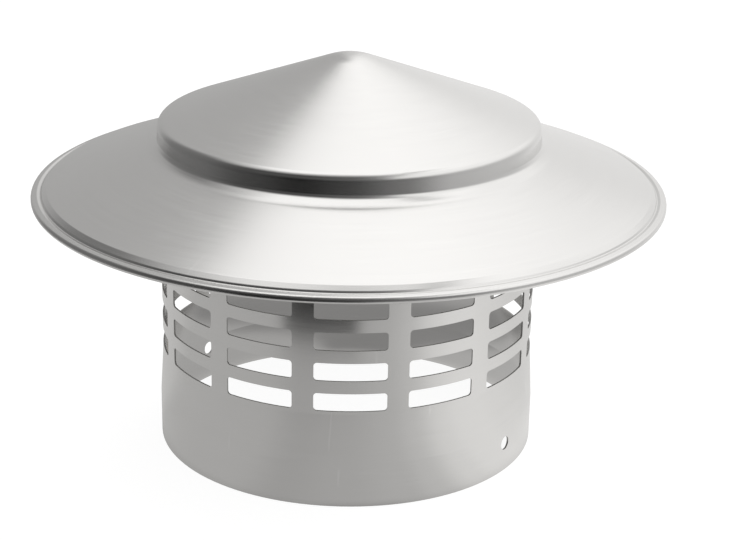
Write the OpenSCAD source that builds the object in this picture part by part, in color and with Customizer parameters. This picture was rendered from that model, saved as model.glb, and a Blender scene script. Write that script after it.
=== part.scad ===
// Roof vent with a mushroom cap: a pressed stainless cap over a slotted collar.
// Two pieces of sheet metal, spot welded where the collar's top plugs into the
// step of the cap. Millimetres, +Z up, origin at the centre of the bottom rim.

/* [Sheet] */
// Thickness of the stainless sheet
sheet = 0.5; // [0.4:0.1:0.6]

/* [Collar] */
// Outer radius of the slotted part of the collar, which is the part that plugs into the cap
collar_r = 54.75; // [54.5:0.05:55]
// Outer radius of the mouth, which is belled a little to slip over the pipe
mouth_r = 55.65; // [55.4:0.05:55.9]
// Height of the straight part of the mouth
mouth_h = 13; // [12:0.5:16]
// Height where the bell has run out and the slotted part starts
bell_h = 27.5; // [24:0.5:28]

/* [Air slots] */
// Number of slot columns round the collar
slot_columns = 13; // [11:1:13]
// Number of slot rows
slot_rows = 5; // [3:1:5]
// Height of the lower edge of the lowest row
slot_z = 28.45; // [28.2:0.05:29]
// Distance from one row to the next
row_pitch = 8.95; // [8.5:0.05:9]
// Height of one slot
slot_h = 5.25; // [4.5:0.05:5.5]
// Half of the angle that one slot covers
slot_half_angle = 10.65; // [9:0.05:11]
// Corner radius of a slot
slot_corner = 1; // [0.5:0.1:1.5]
// Angle of the front column from straight ahead
slot_turn = 1.3; // [-5:0.1:5]

/* [Screw holes] */
// Diameter of a screw hole
screw_d = 4; // [3:0.1:4.5]
// Height of the front screw hole above the bottom rim
screw_za = 8.6; // [7:0.1:10]
// Height of the back screw hole above the bottom rim
screw_zb = 9.9; // [7:0.1:10]
// Angle of the front screw hole from straight ahead
screw_a = 55.7; // [40:0.1:65]
// Angle of the back screw hole from straight ahead
screw_b = 233; // [225:0.1:245]

/* [Weld seam] */
// Width of the butt weld that closes the collar
weld_w = 1.6; // [1:0.1:2]
// Height of the weld bead above the sheet
weld_proud = 0.12; // [0.08:0.01:0.2]

/* [Cap] */
// Slope of the cone
cone_slope = 20.6; // [20.3:0.1:21]
// Slope of the brim
brim_slope = 20.2; // [20:0.1:20.4]
// Slope of the brim's foot, the steeper strip next to the step
foot_slope = 36; // [32:1:40]
// Width of the foot
foot_w = 2.2; // [2:0.1:2.6]
// Radius of the bend between the foot and the brim
foot_r = 10; // [8:1:12]
// Height of the cone's sharp apex, before the tip is rounded
apex_z = 116.55; // [116:0.05:117]
// Radius of the rounded tip
tip_r = 20; // [10:0.5:25]
// Radius of the rounding between the cone and the step
shoulder_r = 2.5; // [2:0.1:3]
// Height where the brim's slope would meet the step
crease_z = 89.5; // [89.35:0.05:89.6]
// Radius of the rounding between the step and the foot
crease_r = 1.8; // [1:0.1:2]
// Outer radius of the cap over its rolled rim
cap_r = 91.5; // [91.2:0.05:91.8]
// Height of the lowest point of the rolled rim
rim_z = 74.15; // [74:0.05:74.3]
// Height of the roll
roll_h = 2.2; // [2.1:0.05:2.3]
// Width of the roll
roll_w = 1.9; // [1.9:0.05:2.1]

/* [Hidden] */
$fn = 96;

step_r = collar_r + sheet;               // outside of the step
// The collar ends just below where the shoulder starts to curve
collar_top = apex_z - step_r * tan(cone_slope) - shoulder_r * tan(45 - cone_slope / 2) - 0.1;
slot_w = 2 * collar_r * sin(slot_half_angle);
slot_pitch = 360 / slot_columns;
seam_a = slot_turn + 9.5 * slot_pitch;   // the seam runs down a rib on the left

// ---- sheet profiles ----
function unit(v) = v / norm(v);
function turn(v) = [v[1], -v[0]];        // a quarter turn clockwise, towards the underside

// Arc that rounds the corner b of the path a, b, c with the radius r
function corner(a, b, c, r, n) =
    let (u = unit(a - b), v = unit(c - b),
         half = acos(u * v) / 2,
         m = b + unit(u + v) * r / sin(half),
         p = b + u * r / tan(half), q = b + v * r / tan(half),
         a0 = atan2(p[1] - m[1], p[0] - m[0]),
         a1r = atan2(q[1] - m[1], q[0] - m[0]),
         a1 = a1r - a0 > 180 ? a1r - 360 : a1r - a0 < -180 ? a1r + 360 : a1r)
    [for (i = [0 : n]) m + r * [cos(a0 + (a1 - a0) * i / n), sin(a0 + (a1 - a0) * i / n)]];

// Direction square to a path at its point i, on the underside
function across(path, i) =
    let (n = len(path) - 1,
         d0 = i > 0 ? unit(path[i] - path[i - 1]) : unit(path[1] - path[0]),
         d1 = i < n ? unit(path[i + 1] - path[i]) : d0,
         s = unit(turn(d0) + turn(d1)))
    s / (s * turn(d1));

// Section of a sheet whose upper or outer side follows a path
function sheet_section(path, t) = concat(path,
    [for (k = [0 : len(path) - 1]) let (i = len(path) - 1 - k) path[i] + t * across(path, i)]);

// Outer side of the cap, from the tip to the end of the rolled edge
brim_start = [step_r + foot_w, crease_z - foot_w * tan(brim_slope)];
crease = [step_r, brim_start[1] + foot_w * tan(foot_slope)];
groove_in = [cap_r - 4.5, crease_z - (cap_r - 4.5 - step_r) * tan(brim_slope)];
groove_mid = [cap_r - 3.15, rim_z + roll_h + 0.35];
groove_low = [cap_r - 2.78, rim_z + roll_h - 0.27];
roll_in = cap_r - roll_w;
roll_out = [cap_r, rim_z + roll_h - 0.35];
shoulder = [step_r, apex_z - step_r * tan(cone_slope)];
tip_path = [for (i = [0 : 6]) let (a = cone_slope * i / 6)
    [tip_r * sin(a), apex_z - tip_r / cos(cone_slope) + tip_r * cos(a)]];
cap_path = concat(
    tip_path,
    corner([0, apex_z], shoulder, crease, shoulder_r, 12),
    corner(shoulder, crease, brim_start, crease_r, 10),
    corner(crease, brim_start, groove_in, foot_r, 6),
    corner(brim_start, groove_in, groove_mid, 1, 5),
    corner(groove_in, groove_mid, groove_low, 0.9, 5),
    corner(groove_mid, groove_low, [roll_in + 0.2, rim_z + roll_h], 0.3, 8),
    corner(groove_low, [roll_in + 0.2, rim_z + roll_h], roll_out, 0.7, 5),
    corner([roll_in + 0.2, rim_z + roll_h], roll_out, [cap_r, rim_z], 0.9, 10),
    corner(roll_out, [cap_r, rim_z], [roll_in, rim_z], 0.85, 10),
    corner([cap_r, rim_z], [roll_in, rim_z], [roll_in, rim_z + roll_h], 0.85, 10),
    [[roll_in, rim_z + 0.95]]
);
// The inner end of the first edge lies on the axis
cap_section = let (s = sheet_section(cap_path, sheet), n = len(s) - 1)
    [for (i = [0 : n]) i == n ? [0, cap_path[0][1] - sheet] : s[i]];

// Outer side of the collar, from the bottom rim up
collar_path = [[mouth_r, 0], [mouth_r, mouth_h], [collar_r, bell_h], [collar_r, collar_top]];

// ---- pieces ----
// Cap: cone with a rounded tip, step, sloping brim, groove and rolled rim, all one sheet
module cap() {
    color("gainsboro")
    rotate_extrude() polygon(cap_section);
}

// Outline of one slot, lying flat
module slot_outline() {
    square([slot_w - 2 * slot_corner, slot_h], center = true);
    square([slot_w, slot_h - 2 * slot_corner], center = true);
    for (x = [-1, 1]) for (y = [-1, 1])
        translate([x * (slot_w / 2 - slot_corner), y * (slot_h / 2 - slot_corner)])
            circle(r = slot_corner, $fn = 24);
}

// Cutter for one slot, through the wall that faces the angle a
module slot_cutter(a, z) {
    rotate([0, 0, a]) translate([0, -collar_r - 4, z + slot_h / 2]) rotate([-90, 0, 0])
        linear_extrude(height = 10) slot_outline();
}

// Cutter for one screw hole that faces the angle a, at the height z
module screw_cutter(a, z) {
    rotate([0, 0, a]) translate([0, -collar_r - 5, z]) rotate([-90, 0, 0])
        cylinder(d = screw_d, h = 12, $fn = 48);
}

// Collar: one slotted strip rolled into a tube and closed by a butt weld
module collar() {
    color("silver")
    difference() {
        union() {
            rotate_extrude() polygon([
                for (p = collar_path) p,
                for (k = [3 : -1 : 0]) collar_path[k] - [sheet, 0]
            ]);
            // Weld bead, which stops short of the step that the collar plugs into
            rotate([0, 0, seam_a - 90 - weld_w / 2]) rotate_extrude(angle = weld_w) polygon([
                [mouth_r - sheet / 2, 0], [mouth_r + weld_proud, 0], [mouth_r + weld_proud, mouth_h],
                [collar_r + weld_proud, bell_h], [collar_r + weld_proud, crease_z - 2],
                [collar_r - sheet / 2, crease_z - 2], [collar_r - sheet / 2, bell_h],
                [mouth_r - sheet / 2, mouth_h]
            ]);
        }
        for (c = [0 : slot_columns - 1]) for (r = [0 : slot_rows - 1])
            slot_cutter(slot_turn + c * slot_pitch, slot_z + r * row_pitch);
        screw_cutter(screw_a, screw_za);
        screw_cutter(screw_b, screw_zb);
    }
}

cap();
collar();
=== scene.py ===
"""Looks of the roof vent: satin stainless on the cap and the collar, soft studio light, pale floor."""

import math
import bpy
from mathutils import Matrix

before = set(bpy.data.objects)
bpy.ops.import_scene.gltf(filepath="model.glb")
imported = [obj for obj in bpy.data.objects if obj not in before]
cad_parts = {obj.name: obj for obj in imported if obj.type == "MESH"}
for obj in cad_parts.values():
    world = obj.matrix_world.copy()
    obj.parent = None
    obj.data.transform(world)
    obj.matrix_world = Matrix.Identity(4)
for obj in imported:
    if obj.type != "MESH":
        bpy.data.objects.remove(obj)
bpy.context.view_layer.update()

import bpy  # noqa: E402
from mathutils import Matrix, Vector  # noqa: E402

IMAGE = (734, 540)


# ---------------------------------------------------------------- node helpers
class Tree:
    """A small builder for shader nodes."""

    def __init__(self, name):
        self.mat = bpy.data.materials.new(name)
        self.mat.use_nodes = True
        self.nodes = self.mat.node_tree.nodes
        self.links = self.mat.node_tree.links
        self.nodes.clear()
        self.out = self.nodes.new("ShaderNodeOutputMaterial")

    def add(self, kind, **settings):
        n = self.nodes.new("ShaderNode" + kind)
        for k, v in settings.items():
            setattr(n, k, v)
        return n

    def set(self, node, socket, value):
        """A value is a number, a tuple or another node's output."""
        target = node.inputs[socket]
        if isinstance(value, bpy.types.NodeSocket):
            self.links.new(value, target)
        else:
            target.default_value = value
        return node

    def math(self, op, a, b=0.0, clamp=False):
        n = self.add("Math", operation=op, use_clamp=clamp)
        self.set(n, 0, a)
        self.set(n, 1, b)
        return n.outputs[0]

    def ramp(self, value, lo, hi, out_lo=0.0, out_hi=1.0, smooth=True):
        n = self.add("MapRange", interpolation_type="SMOOTHSTEP" if smooth else "LINEAR")
        for s, v in (("Value", value), ("From Min", lo), ("From Max", hi), ("To Min", out_lo), ("To Max", out_hi)):
            self.set(n, s, v)
        return n.outputs["Result"]

    def mix(self, fac, a, b):
        n = self.add("Mix", data_type="RGBA")
        n.inputs[0].default_value = 0.5
        self.set(n, 0, fac)
        for index, v in ((6, a), (7, b)):
            if isinstance(v, bpy.types.NodeSocket):
                self.links.new(v, n.inputs[index])
            else:
                n.inputs[index].default_value = (*v, 1.0)
        return n.outputs[2]

    def around(self):
        """The place on the object as (cosine, sine) of the angle round the axis, radius and height in mm, and x, y, z in m."""
        coord = self.add("TexCoord").outputs["Object"]
        sep = self.add("SeparateXYZ")
        self.set(sep, 0, coord)
        x, y, z = (sep.outputs[i] for i in range(3))
        r = self.math("SQRT", self.math("ADD", self.math("MULTIPLY", x, x), self.math("MULTIPLY", y, y)))
        r = self.math("MAXIMUM", r, 1e-5)
        return {
            "c": self.math("DIVIDE", x, r),
            "s": self.math("DIVIDE", y, r),
            "r": self.math("MULTIPLY", r, 1000.0),
            "z": self.math("MULTIPLY", z, 1000.0),
            "angle": self.math("ARCTAN2", x, self.math("MULTIPLY", y, -1.0)),
            "at": coord,
        }

    def grain(self, p, per_mm, turns, detail=3.0, rough=0.6):
        """Fine lines that run round the axis: quick change with radius and height, slow change with angle."""
        v = self.add("CombineXYZ")
        self.set(v, 0, self.math("MULTIPLY", p["c"], turns))
        self.set(v, 1, self.math("MULTIPLY", p["s"], turns))
        self.set(v, 2, self.math("MULTIPLY", p["r"], per_mm))
        n = self.add("TexNoise", noise_dimensions="4D")
        self.set(n, "Vector", v.outputs[0])
        self.set(n, "W", self.math("MULTIPLY", p["z"], per_mm))
        self.set(n, "Scale", 1.0)
        self.set(n, "Detail", detail)
        self.set(n, "Roughness", rough)
        return n.outputs["Fac"]

    def blotches(self, p, scale, detail=2.0):
        n = self.add("TexNoise")
        self.set(n, "Vector", p["at"])
        self.set(n, "Scale", scale)
        self.set(n, "Detail", detail)
        return n.outputs["Fac"]


def steel(name, base, dark, rough, anisotropy, lines, seam=False):
    """Satin stainless: fine lines round the axis, faint marks of handling, and, on the collar, darker faces that
    turn away from the axis, such as the sheared edges of the slots, partly duller metal and partly painted shade.
    """
    t = Tree(name)
    p = t.around()
    fine = t.grain(p, lines, 5.0, 3.0, 0.65)
    coarse = t.grain(p, lines * 0.16, 2.5, 2.0, 0.5)
    cloud = t.blotches(p, 22.0, 3.0)
    smudge = t.ramp(t.blotches(p, 60.0, 4.0), 0.52, 0.72)

    shade = t.math("ADD", t.math("MULTIPLY", fine, 0.45), t.math("ADD", t.math("MULTIPLY", coarse, 0.3), t.math("MULTIPLY", cloud, 0.25)))
    colour = t.mix(t.ramp(shade, 0.36, 0.64, smooth=False), dark, base)

    # Short scratches that stray from the grain
    v = t.add("VectorRotate", rotation_type="Z_AXIS")
    t.set(v, "Vector", p["at"])
    t.set(v, "Angle", 0.6)
    m = t.add("Mapping")
    t.set(m, "Vector", v.outputs[0])
    t.set(m, "Scale", (900.0, 28.0, 60.0))
    s = t.add("TexNoise")
    t.set(s, "Vector", m.outputs[0])
    t.set(s, "Scale", 1.0)
    t.set(s, "Detail", 1.0)
    scratch = t.ramp(s.outputs["Fac"], 0.74, 0.80)
    colour = t.mix(t.math("MULTIPLY", scratch, 0.35), colour, tuple(min(1.0, c * 1.12) for c in base))

    r = t.math("ADD", rough - 0.05, t.math("MULTIPLY", fine, 0.07))
    r = t.math("ADD", r, t.math("MULTIPLY", coarse, 0.03))
    r = t.math("ADD", r, t.math("MULTIPLY", smudge, 0.02))

    # Sheared edges of the sheet are duller than its faces; on the collar they are also darkened, partly as painted
    # shade along the slot edges
    facing = t.add("SeparateXYZ")
    t.set(facing, 0, t.add("NewGeometry").outputs["True Normal"])
    outward = t.math("ADD", t.math("MULTIPLY", facing.outputs[0], p["c"]), t.math("MULTIPLY", facing.outputs[1], p["s"]))
    cut_edge_and_shade = t.ramp(t.math("ABSOLUTE", outward), 0.25, 0.6, 1.0, 0.0)
    if seam:
        # Heat tint beside the butt weld: straw next to the bead, then a trace of blue, and a matt bead
        centre = seam["angle"]
        away = t.math("ABSOLUTE", t.math("SUBTRACT", p["angle"], centre))
        away = t.math("MULTIPLY", away, 55.0)
        wob = t.math("ADD", away, t.math("MULTIPLY", t.math("SUBTRACT", t.blotches(p, 180.0, 2.0), 0.5), 2.2))
        straw = t.ramp(wob, 1.0, 3.6, 1.0, 0.0)
        blue = t.math("MULTIPLY", t.ramp(wob, 1.6, 2.8), t.ramp(wob, 2.8, 5.0, 1.0, 0.0))
        colour = t.mix(t.math("MULTIPLY", straw, 0.35), colour, (0.58, 0.49, 0.36))
        colour = t.mix(t.math("MULTIPLY", blue, 0.25), colour, (0.38, 0.42, 0.52))
        bead = t.ramp(away, 0.7, 1.0, 1.0, 0.0)
        r = t.math("ADD", r, t.math("MULTIPLY", bead, 0.12))
        # Painted shade: the sheared edges of the slots are darkened, standing in for the shadow along them as well
        # as the duller cut metal
        colour = t.mix(t.math("MULTIPLY", cut_edge_and_shade, 0.8), colour, (0.30, 0.295, 0.285))
        r = t.math("ADD", r, t.math("MULTIPLY", cut_edge_and_shade, 0.15))

    height = t.math("ADD", t.math("MULTIPLY", fine, 1.0), t.math("MULTIPLY", coarse, 0.5))
    height = t.math("SUBTRACT", height, t.math("MULTIPLY", scratch, 0.6))
    if seam:
        ripple = t.add("TexWave", wave_type="BANDS", bands_direction="Z")
        t.set(ripple, "Vector", p["at"])
        t.set(ripple, "Scale", 330.0)
        t.set(ripple, "Distortion", 3.0)
        height = t.math("ADD", height, t.math("MULTIPLY", t.math("MULTIPLY", ripple.outputs["Fac"], bead), 6.0))
    bump = t.add("Bump")
    t.set(bump, "Strength", 0.12)
    t.set(bump, "Distance", 0.00002)
    t.set(bump, "Height", height)
    if seam:
        # The walls of the collar are shaded as truly round, so that thin triangles beside the slots leave no marks
        bell = t.math("MULTIPLY", t.ramp(p["z"], 12.9, 13.1), t.ramp(p["z"], 27.4, 27.6, 1.0, 0.0))
        radial = t.add("CombineXYZ")
        side = t.math("SIGN", outward)
        t.set(radial, 0, t.math("MULTIPLY", p["c"], side))
        t.set(radial, 1, t.math("MULTIPLY", p["s"], side))
        t.set(radial, 2, t.math("MULTIPLY", t.math("MULTIPLY", bell, 0.062), side))
        chosen = t.add("Mix", data_type="VECTOR")
        t.set(chosen, 0, t.ramp(t.math("ABSOLUTE", outward), 0.9, 0.95))
        t.links.new(t.add("NewGeometry").outputs["Normal"], chosen.inputs[4])
        t.links.new(radial.outputs[0], chosen.inputs[5])
        even = t.add("VectorMath", operation="NORMALIZE")
        t.set(even, 0, chosen.outputs[1])
        t.set(bump, "Normal", even.outputs[0])

    tangent = t.add("Tangent", direction_type="RADIAL", axis="Z")
    b = t.add("BsdfPrincipled")
    t.set(b, "Base Color", colour)
    t.set(b, "Metallic", 1.0)
    t.set(b, "Roughness", r)
    t.set(b, "Anisotropic", anisotropy)
    t.set(b, "Tangent", tangent.outputs[0])
    t.set(b, "Normal", bump.outputs[0])
    t.links.new(b.outputs[0], t.out.inputs[0])
    return t.mat


def dress(node, material):
    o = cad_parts[node]
    o.data.materials.clear()
    o.data.materials.append(material)
    return o


seam_angle = math.radians(1.3 + 9.5 * 360 / 13)
seam_angle = (seam_angle + math.pi) % (2 * math.pi) - math.pi
dress("cap", steel("cap_steel", (0.785, 0.78, 0.772), (0.755, 0.75, 0.742), 0.20, 0.5, 4.0))
dress("collar", steel("collar_steel", (0.745, 0.74, 0.732), (0.72, 0.715, 0.705), 0.19, 0.4, 3.0, seam={"angle": seam_angle}))


# ---------------------------------------------------------------- stage
class World(Tree):
    """The same builder on the world's nodes."""

    def __init__(self, world):
        world.use_nodes = True
        self.nodes = world.node_tree.nodes
        self.links = world.node_tree.links
        self.nodes.clear()
        self.out = self.nodes.new("ShaderNodeOutputWorld")


def round_table(t, azimuth, stops):
    """A value for each azimuth in degrees, 0 in front and 90 on the right, with straight lines between the stops."""
    place = t.math("ADD", t.math("MULTIPLY", azimuth, 1 / (2 * math.pi)), 0.5)
    ramp = t.add("ValToRGB")
    ramp.color_ramp.interpolation = "EASE"
    elements = ramp.color_ramp.elements
    while len(elements) > 1:
        elements.remove(elements[-1])
    for i, (deg, value) in enumerate(stops):
        e = elements[0] if i == 0 else elements.new(deg / 360 + 0.5)
        e.position = deg / 360 + 0.5
        e.color = (value / 2, value / 2, value / 2, 1.0)
    t.set(ramp, 0, place)
    grey = t.add("SeparateColor")
    t.set(grey, 0, ramp.outputs[0])
    return t.math("MULTIPLY", grey.outputs[0], 2.0)


def glow(name, strength, base=None, one_sided=True):
    t = Tree(name)
    if base is None:
        e = t.add("Emission")
        t.set(e, "Color", (1.0, 0.992, 0.98, 1.0))
        t.set(e, "Strength", strength(t) if callable(strength) else strength)
        last = e.outputs[0]
    else:
        b = t.add("BsdfPrincipled")
        t.set(b, "Base Color", (*base, 1.0))
        t.set(b, "Roughness", 0.9)
        t.set(b, "Specular IOR Level", 0.0)
        t.set(b, "Emission Color", (1.0, 1.0, 1.0, 1.0))
        t.set(b, "Emission Strength", strength)
        last = b.outputs[0]
    if one_sided:
        # The floor is seen from above only, so that the underside can be looked at
        g = t.add("NewGeometry")
        clear = t.add("BsdfTransparent")
        m = t.add("MixShader")
        t.links.new(g.outputs["Backfacing"], m.inputs[0])
        t.links.new(last, m.inputs[1])
        t.links.new(clear.outputs[0], m.inputs[2])
        last = m.outputs[0]
    t.links.new(last, t.out.inputs[0])
    return t.mat


def sheet(name, points, material, camera, diffuse, glossy):
    me = bpy.data.meshes.new(name)
    me.from_pydata(points, [], [tuple(range(len(points)))])
    me.materials.append(material)
    o = bpy.data.objects.new(name, me)
    bpy.context.scene.collection.objects.link(o)
    o.visible_camera = camera
    o.visible_diffuse = diffuse
    o.visible_glossy = glossy
    o.visible_transmission = False
    o.visible_shadow = False
    return o


# Floor and backdrop, which the camera sees
sheet("floor", [(-7, -7, -0.0002), (7, -7, -0.0002), (7, 7, -0.0002), (-7, 7, -0.0002)],
      glow("floor_pale", 0.93, base=(0.24, 0.24, 0.24)), True, True, False)
bpy.ops.mesh.primitive_uv_sphere_add(segments=48, ring_count=24, radius=12.0)
dome = bpy.context.object
dome.name = "backdrop"
dome.data.materials.append(glow("backdrop_white", 1.0, one_sided=False))
dome.visible_diffuse = dome.visible_glossy = dome.visible_transmission = dome.visible_shadow = False


def painted_table_light(t):
    """A glowing card that the steel mirrors, with the table's light painted on: painted light from the right,
    painted shade inside the collar, and a painted dark patch in front, from 176 mm out, where the collar mirrors it.
    """
    p = t.around()
    # Painted light: the card is brighter on the right, as if lit from that side
    side = round_table(t, p["angle"], [(-180, 0.66), (-107, 0.61), (-89, 0.52), (-57, 0.505), (-40, 0.50), (-21, 0.44), (0, 0.475),
                                       (21, 0.53), (31, 0.61), (46, 0.82), (56, 0.89), (68, 0.90), (80, 0.86), (107, 0.78), (140, 0.73), (180, 0.66)])
    # Painted shade inside the collar, most of all down the middle
    across = t.math("MULTIPLY", p["c"], p["r"])
    middle = t.math("MULTIPLY", t.ramp(across, -11.0, -3.0), t.ramp(across, 13.0, 22.0, 1.0, 0.0))
    shade = t.math("SUBTRACT", 0.72, t.math("MULTIPLY", middle, 0.30))
    inside = t.ramp(p["r"], 50.0, 60.0, 0.0, 1.0)
    inside = t.math("ADD", shade, t.math("MULTIPLY", t.math("SUBTRACT", 1.0, shade), inside))
    # Painted dark patch in front, from 176 mm out, set where the collar mirrors it
    painted_dark_patch = t.math("MULTIPLY", t.ramp(p["r"], 173.0, 179.0),
                  t.math("MULTIPLY", t.ramp(p["angle"], math.radians(-35), math.radians(-30)),
                         t.ramp(p["angle"], math.radians(3), math.radians(9), 1.0, 0.0)))
    lit = t.math("MULTIPLY", side, inside)
    return t.math("MAXIMUM", t.math("MULTIPLY", lit, t.math("SUBTRACT", 1.0, painted_dark_patch)), t.math("MULTIPLY", painted_dark_patch, 0.02))


# The table card glows with painted light and shade and is seen only in reflections
ring = [(0.25 * math.cos(math.radians(a)), 0.25 * math.sin(math.radians(a)), -0.0001) for a in range(0, 360, 6)]
sheet("table", ring, glow("painted_table_light", painted_table_light), False, False, True)

# The room: dark in front, grey at the back left, a bright wall on the right and a soft box overhead
world = bpy.data.worlds.new("room")
bpy.context.scene.world = world
w = World(world)
sep = w.add("SeparateXYZ")
w.set(sep, 0, w.add("TexCoord").outputs["Generated"])
dx, dy, dz = (sep.outputs[i] for i in range(3))
azimuth = w.math("ARCTAN2", dx, w.math("MULTIPLY", dy, -1.0))
level = round_table(w, azimuth, [(-180, 0.68), (-173, 0.48), (-150, 0.46), (-126, 0.20), (-99, 0.16), (-60, 0.06), (-28, 0.015), (0, 0.055),
                                 (32, 0.19), (64, 0.54), (105, 0.63), (140, 0.85), (173, 0.88), (180, 0.68)])
back_right = w.math("MULTIPLY", w.ramp(dx, -0.05, 0.05), w.ramp(dy, -0.1, 0.2))
level = w.math("ADD", level, w.math("MULTIPLY", back_right, w.ramp(dz, 0.25, 0.8, 0.0, 0.32)))
box_right = w.math("MULTIPLY", w.ramp(dx, 0.34, 0.44), w.ramp(dz, 0.15, 0.6))
box_top = w.math("MULTIPLY", w.ramp(dz, 0.74, 0.84), w.ramp(dy, -0.12, 0.02))
box_top = w.math("MULTIPLY", box_top, w.ramp(w.math("ADD", dz, w.math("MULTIPLY", dx, 0.9)), 0.54, 0.62))
# The ceiling brightens towards the soft box, sooner on the left than in front
tilt = w.math("SUBTRACT", dz, w.math("MULTIPLY", w.math("MINIMUM", dx, 0.0), 0.2))
ceiling = w.math("ARCSINE", w.math("MINIMUM", tilt, 1.0))
ceiling = w.ramp(ceiling, math.radians(54), math.radians(90), 0.0, 0.93, smooth=False)
# A dark seam between the soft box overhead and the bright wall, on the right of the front
gap = w.math("MULTIPLY", w.ramp(dx, 0.25, 0.30), w.math("MULTIPLY", w.ramp(dx, 0.34, 0.39, 1.0, 0.0), w.ramp(dz, 0.5, 0.7)))
gap = w.math("MULTIPLY", gap, w.ramp(dy, 0.22, 0.40, 1.0, 0.0))


def towards(t, value, target, share):
    """Moves value to target by a share."""
    return t.math("ADD", value, t.math("MULTIPLY", t.math("SUBTRACT", target, value), share))


# A little light from the front wall, for the far side of the cap
level = w.math("ADD", level, w.math("MULTIPLY", w.ramp(dz, 0.05, 0.35), w.ramp(dy, -0.95, -0.2, 0.07, 0.0)))
level = w.math("MAXIMUM", level, w.math("MINIMUM", w.math("ADD", level, ceiling), 1.1))
level = towards(w, level, 1.1, box_right)
level = towards(w, level, 1.25, box_top)
level = towards(w, level, 0.48, gap)
shine = w.add("Background")
w.set(shine, 0, (1.0, 0.994, 0.985, 1.0))
w.set(shine, 1, level)
w.links.new(shine.outputs[0], w.out.inputs[0])

# ---------------------------------------------------------------- camera
cam = bpy.data.objects.new("camera", bpy.data.cameras.new("camera"))
bpy.context.scene.collection.objects.link(cam)
bpy.context.scene.camera = cam
F, ELEV, ROLL, CX, CY, DIST = 1889.8, math.radians(20.831), math.radians(0.782), 347.43, 284.37, 10 * 0.0561
LOOK = Vector((0, 0, 0.8 * 0.0561))
back = Vector((0, -math.cos(ELEV), math.sin(ELEV)))
right = Vector((1, 0, 0))
up = right.cross(-back).normalized()
cr, sr = math.cos(ROLL), math.sin(ROLL)
r2 = right * cr + up * sr
u2 = up * cr - right * sr
cam.matrix_world = Matrix((
    (r2.x, u2.x, back.x, 0), (r2.y, u2.y, back.y, 0), (r2.z, u2.z, back.z, 0), (0, 0, 0, 1)))
cam.location = LOOK + back * DIST
cam.data.sensor_fit = "HORIZONTAL"
cam.data.sensor_width = 36.0
cam.data.lens = F / IMAGE[0] * 36.0
cam.data.shift_x = (IMAGE[0] / 2 - CX) / IMAGE[0]
cam.data.shift_y = (CY - IMAGE[1] / 2) / IMAGE[0]
cam.data.clip_start = 0.02
cam.data.clip_end = 60.0
cam.data.dof.use_dof = False

view = bpy.context.scene.view_settings
view.view_transform = "Standard"
view.look = "None"
view.exposure = 0.0
view.gamma = 1.0
